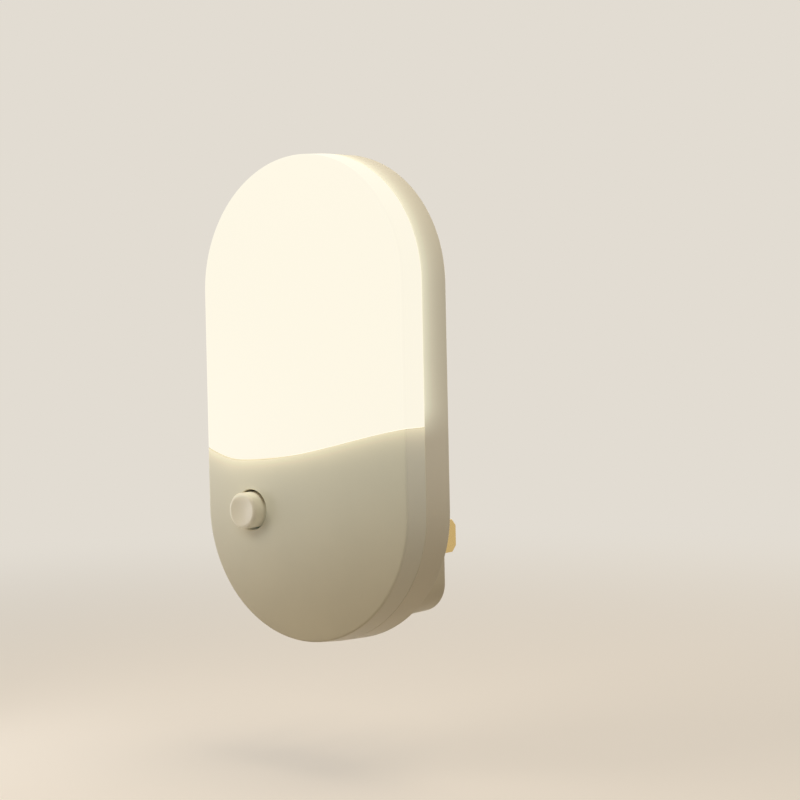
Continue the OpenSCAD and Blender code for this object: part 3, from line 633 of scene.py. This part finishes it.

# How the painted glow eases at the seam, and is cut to paint shade in the bore and below it
SEAM_FULL = 0.22
SEAM_SHARE = 0.5
BORE_FROM = 0.01
BORE_TO = 0.12
GAP_RISE = 2.4
GAP_SHARE = 0.7
PAINTED_SHADOW_WIDTH = 2.6
PAINTED_SHADOW_LOSS = 0.7


def wave(x):
    """Height of the wave at x, both in millimetres."""
    run = WAVE_LEFT_RUN if x < WAVE_TROUGH_X else WAVE_RIGHT_RUN
    return WAVE_TROUGH_Z + WAVE_RISE / 2 * (1 - math.cos(math.pi * (x - WAVE_TROUGH_X) / run))


def front_shell(form, side, front_holes=(), back_holes=()):
    """A tray with a rounded rim, cut off along the wave: its upper part for side 1, or its lower."""
    section = rounded([
        (FRONT_R - RIM_WIDTH, FRONT_Y, 0), (FRONT_R, FRONT_Y, RIM_ROUND),
        (BODY_R, PARTING_Y, PARTING_ROUND), (RECESS_R, PARTING_Y, RECESS_ROUND),
        (RECESS_R, RECESS_Y, 0), (WALL_R, RECESS_Y, 0), (WALL_R, INNER_Y, INNER_ROUND),
        (WALL_R - INNER_WIDTH, INNER_Y, 0),
    ], steps=SECTION_STEPS)
    ends = [(SEAM_EDGE * (1 - math.sin(a)), SEAM_EDGE * (1 - math.cos(a))) for a in EDGE_TURNS]
    ends.append((SEAM_EDGE + SEAM_BAND, 0))
    shift = side * SEAM_GAP / 2
    centre = HIGH_CENTRE if side > 0 else LOW_CENTRE
    arc = [math.pi * i / ARC_STEPS for i in range(ARC_STEPS + 1)]
    rings = []
    for spot, out in section:
        radius, y = spot
        # Only the outer faces are eased at the seam
        shown = radius > RECESS_R + SHOWN_MARGIN or y < INNER_Y - SHOWN_MARGIN
        right = []
        left = []
        for run, depth in ends:
            inner = radius - (out.x * depth if shown else 0)
            level = y - (out.y * depth if shown else 0)
            right.append((inner, level, wave(radius) + shift + side * run))
            left.append((-inner, level, wave(-radius) + shift + side * run))
        turned = [(radius * math.cos(a), y, centre + side * radius * math.sin(a)) for a in arc]
        rings.append(loop(form, right + turned + left[::-1]))
    skin(form, rings, closed=False)

    # The flat front: rows of columns that follow the wave, then one face with any holes
    span = section[0][0].x
    across = [span * (1 - 2 * i / COLUMNS) for i in range(1, COLUMNS)]
    rows = []
    for row, (run, depth) in enumerate(ends):
        spots = [(x, FRONT_Y + depth, wave(x) + shift + side * run) for x in across]
        rows.append([rings[0][row]] + loop(form, spots) + [rings[0][-1 - row]])
    skin(form, rows, closed=False)
    border = rows[-1] + rings[0][len(ends):-len(ends)][::-1]

    # The inner face and the narrow face along the seam
    span = section[-1][0].x
    across = [-span * (1 - 2 * i / COLUMNS) for i in range(1, COLUMNS)]
    back = loop(form, [(x, INNER_Y, wave(x) + shift) for x in across])
    rights = [ring[0] for ring in rings]
    lefts = [ring[-1] for ring in rings]
    fill(form, [rights[::-1] + rows[0][1:-1] + lefts + back], 0, 1)
    fill(form, [border, *front_holes], 0, 2)
    fill(form, [rings[-1] + back, *back_holes], 0, 2)


def lathed(form, x, z, path, sides=64):
    """Walls turned round a line along Y, from a rounded path of radii and depths."""
    turns = [math.tau * i / sides for i in range(sides)]
    loops = []
    for (radius, y), _ in path:
        if radius == 0:
            loops.append(loop(form, [(x, y, z)]) * sides)
            continue
        loops.append(loop(form, [
            (x + radius * math.cos(turn), y, z + radius * math.sin(turn)) for turn in turns
        ]))
    for low, high in zip(loops, loops[1:]):
        for i in range(sides):
            j = (i + 1) % sides
            corners = [low[i], low[j], high[j], high[i]]
            form.faces.new([v for n, v in enumerate(corners) if v not in corners[:n]])
    return loops


def hook(form, place):
    """A snap hook that stands on the inner face, with its barb turned outwards."""
    outline = rounded([
        (HOOK_INNER, HOOK_ROOT_Y, 0), (HOOK_OUTER, HOOK_ROOT_Y, 0), (HOOK_OUTER, BARB_CATCH_Y, 0),
        (BARB_R, BARB_CATCH_Y, FINE_ROUND), (BARB_R, BARB_TIP_Y, SMALL_ROUND),
        (HOOK_OUTER, BARB_LEAD_Y, FINE_ROUND), (HOOK_OUTER, HOOK_END_Y, SMALL_ROUND),
        (HOOK_INNER, HOOK_END_Y, SMALL_ROUND),
    ], closed=True)
    plate(form, outline, (-HOOK_W / 2, HOOK_W / 2), place, edge=RIB_EDGE)


def share_with_painted_gap_shade(tree, axes, shown):
    """Share of painted glow a face keeps: all where it is shown, else by height in the gap.

    Cutting the glow paints shade in the gap round the button: dark at its top, lighter towards
    the button's middle.
    """
    lower = add(tree, "MapRange", {
        "Value": axes.outputs["Z"], "From Min": (BUTTON_Z + GAP_RISE) * MM,
        "From Max": BUTTON_Z * MM, "To Min": 0.0, "To Max": GAP_SHARE,
    }, interpolation_type="SMOOTHSTEP")
    return add(tree, "Math", {
        0: shown.outputs["Result"], 1: lower.outputs["Result"],
    }, operation="MAXIMUM")


# Satin ABS with the full grain, so the broad front has no hard highlight
cover_plastic, shader = coloured("ivory_abs_cover", IVORY_ABS, roughness=0.40)
tree = cover_plastic.node_tree
place = add(tree, "TexCoord").outputs["Object"]
axes, over = height_over_wave(tree, place)
below = add(tree, "Math", {0: over.outputs[0], 1: -1.0}, operation="MULTIPLY")

# A painted glow along the seam beside the diffuser, fading within a few millimetres
edge = fading(tree, below.outputs[0], EDGE_LENGTH * MM)
edge = add(tree, "VectorMath", {
    0: srgb(PAINTED_EDGE_GLOW)[:3], "Scale": edge.outputs[0],
}, operation="SCALE")

# A painted wash of light over the cover, a little more on the skirt, fading downwards
skirt = add(tree, "MapRange", {
    "Value": axes.outputs["Y"], "From Min": FRONT_Y * MM, "From Max": (FRONT_Y + SKIRT_STEP) * MM,
}, interpolation_type="SMOOTHSTEP")
skirt = add(tree, "VectorMath", {
    0: srgb(PAINTED_SKIRT_GLOW)[:3], "Scale": skirt.outputs["Result"],
}, operation="SCALE")
wall = add(tree, "VectorMath", {0: skirt.outputs[0], 1: srgb(PAINTED_WASH_GLOW)[:3]}, operation="ADD")
painted_wash = fading(tree, below.outputs[0], WASH_LENGTH * MM, power=2)
painted_wash = add(tree, "VectorMath", {0: wall.outputs[0], "Scale": painted_wash.outputs[0]}, operation="SCALE")
painted_glow = add(tree, "VectorMath", {0: edge.outputs[0], 1: painted_wash.outputs[0]}, operation="ADD")

# Painted shade inside the bore: the painted glow is cut by the distance from the button's axis
bore = add(tree, "VectorMath", {
    0: place, 1: (BUTTON_X * MM, 0, BUTTON_Z * MM),
}, operation="SUBTRACT")
bore = add(tree, "VectorMath", {0: bore.outputs[0], 1: (1, 0, 1)}, operation="MULTIPLY")
bore = add(tree, "VectorMath", {0: bore.outputs[0]}, operation="LENGTH")
outside = add(tree, "MapRange", {
    "Value": bore.outputs["Value"], "From Min": (BUTTON_HOLE_R + BORE_FROM) * MM,
    "From Max": (BUTTON_HOLE_R + BORE_TO) * MM,
}, interpolation_type="SMOOTHSTEP")
share = share_with_painted_gap_shade(tree, axes, outside)

# The seam's eased edge gets less painted glow, because the diffuser beside it already lights it
seam = add(tree, "MapRange", {
    "Value": below.outputs[0], "From Min": SEAM_GAP / 2 * MM, "From Max": SEAM_FULL * MM,
    "To Min": SEAM_SHARE, "To Max": 1.0,
}, interpolation_type="SMOOTHSTEP")
share = add(tree, "Math", {0: share.outputs[0], 1: seam.outputs["Result"]}, operation="MULTIPLY")

# A painted shadow just below the bore, where the painted glow is cut down
drop = add(tree, "Math", {0: BUTTON_Z * MM, 1: axes.outputs["Z"]}, operation="SUBTRACT")
down = add(tree, "Math", {0: drop.outputs[0], 1: bore.outputs["Value"]}, operation="DIVIDE")
down = add(tree, "Math", {0: down.outputs[0], 1: 0.0}, operation="MAXIMUM")
painted_shadow = add(tree, "MapRange", {
    "Value": bore.outputs["Value"], "From Min": (BUTTON_HOLE_R + PAINTED_SHADOW_WIDTH) * MM,
    "From Max": BUTTON_HOLE_R * MM, "To Min": 0.0, "To Max": 1.0,
}, interpolation_type="SMOOTHSTEP")
painted_shadow = add(tree, "Math", {0: painted_shadow.outputs["Result"], 1: down.outputs[0]}, operation="MULTIPLY")
kept = add(tree, "Math", {0: painted_shadow.outputs[0], 1: -PAINTED_SHADOW_LOSS, 2: 1.0}, operation="MULTIPLY_ADD")
share = add(tree, "Math", {0: share.outputs[0], 1: kept.outputs[0]}, operation="MULTIPLY")
painted_glow = add(tree, "VectorMath", {0: painted_glow.outputs[0], "Scale": share.outputs[0]}, operation="SCALE")
paint_glow(shader, painted_glow)

# The shell, with the button's bore and its collar
form = bmesh.new()
hole = lathed(form, BUTTON_X, BUTTON_Z, rounded([
    (BUTTON_HOLE_R + HOLE_MARGIN, FRONT_Y, 0), (BUTTON_HOLE_R, FRONT_Y, HOLE_ROUND),
    (BUTTON_HOLE_R, COLLAR_Y, FINE_ROUND), (COLLAR_R, COLLAR_Y, SMALL_ROUND),
    (COLLAR_R, INNER_Y, 0),
]))
front_shell(form, -1, [hole[0]], [hole[-1]])

# The ledge's section, as heights over the wave and depths, carried along the wave
ledge_section = (
    (-LEDGE_RISE, LEDGE_BACK_Y), (LEDGE_RISE - LEDGE_CHAMFER, LEDGE_BACK_Y),
    (LEDGE_RISE, LEDGE_BACK_Y - LEDGE_CHAMFER), (LEDGE_RISE, LEDGE_FRONT_Y),
    (-LEDGE_DROP, LEDGE_FRONT_Y), (-LEDGE_DROP, LEDGE_ROOT_Y), (-LEDGE_RISE, LEDGE_ROOT_Y),
)
ledge_rings = []
for i in range(COLUMNS + 1):
    x = LEDGE_HALF * (1 - 2 * i / COLUMNS)
    ledge_rings.append(loop(form, [(x, y, wave(x) + rise) for rise, y in ledge_section]))
skin(form, ledge_rings)
fill(form, [ledge_rings[0]], 1, 2)
fill(form, [ledge_rings[-1]], 1, 2)

# The two screw bosses, each tied to the wall by a web, and the hook at the bottom
boss_path = rounded([
    (0, PILOT_END_Y, 0), (PILOT_R, PILOT_END_Y, FINE_ROUND), (PILOT_R, BOSS_END_Y, SMALL_ROUND),
    (BOSS_R, BOSS_END_Y, BOSS_ROUND), (BOSS_R, LEDGE_ROOT_Y, 0), (0, LEDGE_ROOT_Y, 0),
])
web_start = SCREW_X + PILOT_R + WEB_BITE
web_outline = rounded([
    (web_start, LEDGE_ROOT_Y, 0), (WEB_R, LEDGE_ROOT_Y, 0), (WEB_R, WEB_END_Y, FINE_ROUND),
    (web_start, WEB_END_Y, 0),
], closed=True)
for side in (-1, 1):
    lathed(form, side * SCREW_X, SCREW_Z, boss_path, sides=40)
    plate(form, web_outline, (SCREW_Z - WEB_T / 2, SCREW_Z + WEB_T / 2),
          lambda a, b, level: (side * a, b, level), edge=RIB_EDGE)
hook(form, lambda a, b, level: (level, b, LOW_CENTRE - a))
fit(form, "cover_moulding", "lamp", "cover_plastic", cover_plastic, "front_cover")

# ---- Diffuser ---------------------------------------------------------------------------------
# The upper part of the front, moulded from milky polycarbonate and lit from behind by the LEDs.
# Five snap hooks behind it catch in the housing's wall.

SIDE_HOOKS = (27.7, 44.1)
LIT_WHITE = "#F9F3E1"

# Milky polycarbonate, lit: the pigment spreads the light to an even warm white. Its own base is
# dark and hardly glossy, because the room's light adds next to nothing to the light within.
diffuser_plastic, shader = coloured(
    "milky_polycarbonate", "#34332F", roughness=0.5, ior=1.58, grain=0.3, depth=0.003)
shader.inputs["Specular IOR Level"].default_value = 0.2
shader.inputs["Emission Color"].default_value = srgb(LIT_WHITE)
shader.inputs["Emission Strength"].default_value = 1.0

form = bmesh.new()
front_shell(form, 1)
for side in (-1, 1):
    for height in SIDE_HOOKS:
        hook(form, lambda a, b, level: (side * a, b, height + level))
hook(form, lambda a, b, level: (level, b, HIGH_CENTRE + a))
fit(form, "diffuser_moulding", "lamp", "diffuser_plastic", diffuser_plastic, "diffuser")

# ---- Push button ------------------------------------------------------------------------------
# A round cap moulded from a paler ABS, with a shallow dish for the fingertip.
# It is pressed on the switch's plunger by the square socket in its back.

BUTTON_R = 3.3
BUTTON_FRONT = -23.3
BUTTON_BACK = -19.2
FRONT_ROUND = 0.5
BACK_ROUND = 0.2
BACK_WIDTH = 0.5
DISH_R = 2.62
DISH_DEPTH = 0.3
DISH_ROUND = 0.6
DISH_STEPS = (0, 0.35, 0.8, 1.25, 1.7, 2.15)
SOCKET_W = 3.1
SOCKET_END = -21.65

# Painted glow on the cap: even, with a painted highlight at the crown towards the diffuser
# and painted shade at the far side
PAINTED_CAP_GLOW = "#65665D"
PAINTED_CROWN_GLOW = "#767365"
CROWN_FROM = 1.5
PROUD_FROM = 0.1
PROUD_TO = -0.3
FAR_FROM = 1.4
FAR_TO = 4.0
FAR_SHARE = 0.65

# Satin ABS, smoother than the cover from the touch of fingers
button_plastic, shader = coloured("ivory_abs_button", "#E4DDC8", roughness=0.36)
tree = button_plastic.node_tree
place = add(tree, "TexCoord").outputs["Object"]
axes = add(tree, "SeparateXYZ", {"Vector": place})
crown = add(tree, "MapRange", {
    "Value": axes.outputs["Z"], "From Min": (BUTTON_Z + CROWN_FROM) * MM,
    "From Max": (BUTTON_Z + BUTTON_R) * MM, "To Min": 0.0, "To Max": 1.0,
}, interpolation_type="SMOOTHSTEP")
crown = add(tree, "VectorMath", {
    0: srgb(PAINTED_CROWN_GLOW)[:3], "Scale": crown.outputs["Result"],
}, operation="SCALE")
painted_glow = add(tree, "VectorMath", {0: crown.outputs[0], 1: srgb(PAINTED_CAP_GLOW)[:3]}, operation="ADD")

# The painted glow stays in full where the cap stands proud of the cover's front, and in the gap
# by its height, which paints shade at the top of the gap
proud = add(tree, "MapRange", {
    "Value": axes.outputs["Y"], "From Min": (FRONT_Y + PROUD_FROM) * MM,
    "From Max": (FRONT_Y + PROUD_TO) * MM,
}, interpolation_type="SMOOTHSTEP")
share = share_with_painted_gap_shade(tree, axes, proud)

# Painted shade: the side down to the right, farthest from the diffuser, keeps the least painted glow
away = add(tree, "Math", {0: axes.outputs["X"], 1: axes.outputs["Z"]}, operation="SUBTRACT")
kept = add(tree, "MapRange", {
    "Value": away.outputs[0], "From Min": (BUTTON_X - BUTTON_Z + FAR_FROM) * MM,
    "From Max": (BUTTON_X - BUTTON_Z + FAR_TO) * MM, "To Min": 1.0, "To Max": FAR_SHARE,
}, interpolation_type="SMOOTHSTEP")
share = add(tree, "Math", {0: share.outputs[0], 1: kept.outputs["Result"]}, operation="MULTIPLY")
painted_glow = add(tree, "VectorMath", {0: painted_glow.outputs[0], "Scale": share.outputs[0]}, operation="SCALE")
paint_glow(shader, painted_glow)

# The dish is part of a ball, whose radius follows from the dish's width and depth
form = bmesh.new()
ball = (DISH_R ** 2 + DISH_DEPTH ** 2) / (2 * DISH_DEPTH)
dish = [
    (radius, BUTTON_FRONT + DISH_DEPTH - ball + math.sqrt(ball ** 2 - radius ** 2), 0)
    for radius in DISH_STEPS
]
walls = lathed(form, BUTTON_X, BUTTON_Z, rounded(dish + [
    (DISH_R, BUTTON_FRONT, DISH_ROUND), (BUTTON_R, BUTTON_FRONT, FRONT_ROUND),
    (BUTTON_R, BUTTON_BACK, BACK_ROUND), (BUTTON_R - BACK_WIDTH, BUTTON_BACK, 0),
]), sides=72)
corners = rounded([
    (a * SOCKET_W / 2, b * SOCKET_W / 2, SMALL_ROUND)
    for a, b in ((1, 1), (1, -1), (-1, -1), (-1, 1))
], closed=True)
socket = [
    loop(form, [(BUTTON_X + spot.x, y, BUTTON_Z + spot.y) for spot, out in corners])
    for y in (BUTTON_BACK, SOCKET_END)
]
skin(form, socket)
fill(form, [walls[-1], socket[0]], 0, 2)
fill(form, [socket[1]], 0, 2)
fit(form, "button_cap", "button", "button_plastic", button_plastic, "push_button")

# ---- Stage ------------------------------------------------------------------------------------
# A pale warm floor some way under the lamp, and a background of the same tone.
# Neither is part of the object.

PALE = "#E2DCD2"
FLOOR_MATT = "#CDC5B8"
FLOOR_LIFT = "#DFDBD4"
LIFT_STRENGTH = 0.52
FLOOR_R = 3000
FLOOR_SIDES = 64
FLOOR_DROP = 24
FADE_FROM = 50
FADE_TO = 420
ROOM_LIGHT = "#FFEDCF"
ROOM_STRENGTH = 0.18


def background_rays(tree):
    """1 where a ray meets the background straight from the camera, in gloss or through glass."""
    path = add(tree, "LightPath")
    seen = add(tree, "Math", {
        0: path.outputs["Is Camera Ray"], 1: path.outputs["Is Transmission Ray"],
    }, operation="MAXIMUM")
    return add(tree, "Math", {
        0: seen.outputs[0], 1: path.outputs["Is Glossy Ray"],
    }, operation="MAXIMUM")


floor_mesh = bpy.data.meshes.new("floor")
turns = [math.tau * i / FLOOR_SIDES for i in range(FLOOR_SIDES)]
rim = [(FLOOR_R * MM * math.cos(turn), FLOOR_R * MM * math.sin(turn), 0) for turn in turns]
floor_mesh.from_pydata(rim, [], [list(range(FLOOR_SIDES))])
floor = bpy.data.objects.new("floor", floor_mesh)
bpy.context.scene.collection.objects.link(floor)
floor.location = (0, 0, cad_box[0][2] - FLOOR_DROP * MM)

# Matt card that is lifted a little near the lamp, so that it looks pale and keeps the shadow.
# Farther out it fades into the background's tone, and from below it can be seen through.
paper = bpy.data.materials.new("pale_floor")
tree = bare_tree(paper)
matt = add(tree, "BsdfDiffuse", {"Color": srgb(FLOOR_MATT)})
far = add(tree, "Emission", {"Color": srgb(PALE), "Strength": 1.0})
place = add(tree, "TexCoord").outputs["Object"]
reach = add(tree, "VectorMath", {0: place}, operation="LENGTH")
fade = add(tree, "MapRange", {
    "Value": reach.outputs["Value"], "From Min": FADE_FROM * MM, "From Max": FADE_TO * MM,
}, interpolation_type="SMOOTHSTEP")
seen = background_rays(tree)
fade = add(tree, "Math", {0: fade.outputs["Result"], 1: seen.outputs[0]}, operation="MULTIPLY")
lift = add(tree, "Math", {0: seen.outputs[0], 1: LIFT_STRENGTH}, operation="MULTIPLY")
lift = add(tree, "Emission", {"Color": srgb(FLOOR_LIFT), "Strength": lift.outputs[0]})
near = add(tree, "AddShader", {0: matt.outputs[0], 1: lift.outputs[0]})
top = add(tree, "MixShader", {0: fade.outputs[0], 1: near.outputs[0], 2: far.outputs[0]})
clear = add(tree, "BsdfTransparent")
underside = add(tree, "NewGeometry").outputs["Backfacing"]
both = add(tree, "MixShader", {0: underside, 1: top.outputs[0], 2: clear.outputs[0]})
add(tree, "OutputMaterial", {"Surface": both.outputs[0]})
dress(floor, paper)

# The room is pale where it is seen, and otherwise gives the lamp a weak warm light all round
world = bpy.data.worlds.new("studio")
bpy.context.scene.world = world
tree = bare_tree(world)
seen = background_rays(tree)
shown = add(tree, "Background", {"Color": srgb(PALE), "Strength": 1.0})
light = add(tree, "Background", {"Color": srgb(ROOM_LIGHT), "Strength": ROOM_STRENGTH})
pick = add(tree, "MixShader", {0: seen.outputs[0], 1: light.outputs[0], 2: shown.outputs[0]})
add(tree, "OutputWorld", {"Surface": pick.outputs[0]})

# ---- Lamps ------------------------------------------------------------------------------------
# Plain soft studio light from four square panels, all turned to the lamp's middle: a key at the
# upper left in front, a weak cool fill at the left, a wide one over the right side, and the
# largest high up behind.

centre = (Vector(cad_box[0]) + Vector(cad_box[1])) / 2

# Each panel's place and width in millimetres, its power in watts and its colour
for name, spot, width, watts, code in (
    ("key", (-100, -160, 150), 110, 0.132, "#FFF3E4"),
    ("fill", (-90, -60, 10), 50, 0.020, "#EAEAF2"),
    ("top", (90, 0, 330), 200, 0.38, "#FFF0DC"),
    ("back", (-100, 500, 200), 300, 0.5, "#FFF6E8"),
):
    data = bpy.data.lights.new(name, "AREA")
    data.shape = "SQUARE"
    data.size = width * MM
    data.energy = watts
    data.color = srgb(code)[:3]
    panel = bpy.data.objects.new(name, data)
    bpy.context.scene.collection.objects.link(panel)
    panel.location = Vector(spot) * MM
    panel.rotation_mode = "QUATERNION"
    panel.rotation_quaternion = (panel.location - centre).to_track_quat("Z", "Y")

# ---- Camera -----------------------------------------------------------------------------------
# A moderate lens near the height of the lamp's middle, about 41 degrees round to its right.
# It looks very slightly down and is rolled by about one degree.

CAMERA_SPOT = (176.74, -220.81, 31.97)
CAMERA_YAW = math.radians(37.66)
CAMERA_PITCH = math.radians(1.063)
CAMERA_ROLL = math.radians(1.197)
SENSOR_WIDTH = 36
FOCAL_LENGTH = 67.21
CLIP_START = 10

camera_data = bpy.data.cameras.new("camera")
camera_data.sensor_width = SENSOR_WIDTH
camera_data.lens = FOCAL_LENGTH
camera_data.clip_start = CLIP_START * MM
camera = bpy.data.objects.new("camera", camera_data)
bpy.context.scene.collection.objects.link(camera)
camera.location = [value * MM for value in CAMERA_SPOT]
back = Vector((
    math.sin(CAMERA_YAW) * math.cos(CAMERA_PITCH),
    -math.cos(CAMERA_YAW) * math.cos(CAMERA_PITCH),
    math.sin(CAMERA_PITCH),
))
roll = Euler((0, 0, -CAMERA_ROLL), "XYZ").to_quaternion()
camera.rotation_mode = "QUATERNION"
camera.rotation_quaternion = back.to_track_quat("Z", "Y") @ roll
bpy.context.scene.camera = camera

bpy.context.scene.view_settings.view_transform = "Standard"

# ---- Update -----------------------------------------------------------------------------------
# The scene is brought up to date.

bpy.context.view_layer.update()
